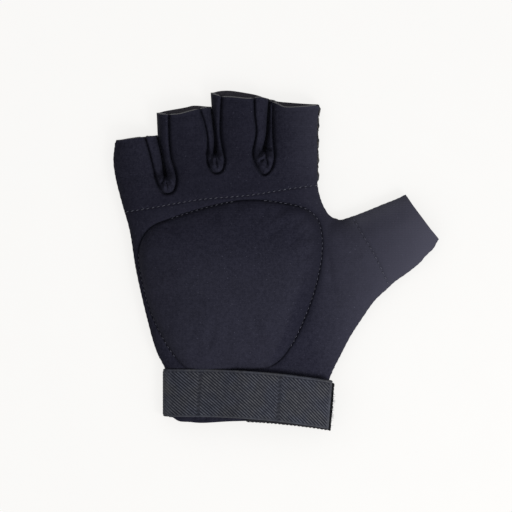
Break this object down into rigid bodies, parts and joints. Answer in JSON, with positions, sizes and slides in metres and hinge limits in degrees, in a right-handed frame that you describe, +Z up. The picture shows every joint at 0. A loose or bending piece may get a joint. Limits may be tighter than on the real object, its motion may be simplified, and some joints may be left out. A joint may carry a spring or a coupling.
{
  "type": "field hockey glove",
  "caption": "Left-hand field hockey glove with open finger ends, a padded back, an open thumb and a ribbed elastic wrist strap with hook tape, lying on its palm.",
  "frame": {"origin": "on the surface that the palm lies on, below the middle of the glove's outline", "axes": "+Z up out of the back of the hand, +Y along the fingers, +X towards the thumb's side"},
  "size_m": [0.1737, 0.1823, 0.0206],
  "materials": {
    "knit": "smooth foam-backed knit, very dark navy, soft sheen",
    "pad_knit": "smooth knit over soft foam, very dark navy",
    "palm_knit": "matt knit, near black",
    "gusset_knit": "thin stretch knit, near black",
    "webbing": "ribbed elastic twill webbing, dark grey",
    "hooks": "black hook tape"
  },
  "bodies": {
    "root": {"back_fingers": "knit", "back_hand": "knit", "back_pad": "pad_knit", "palm": "palm_knit", "thumb_stall": "knit", "gusset_little_ring": "gusset_knit", "gusset_ring_middle": "gusset_knit", "gusset_middle_index": "gusset_knit", "wrist_strap": "webbing", "hook_tape": "hooks"}
  },
  "joints": []
}
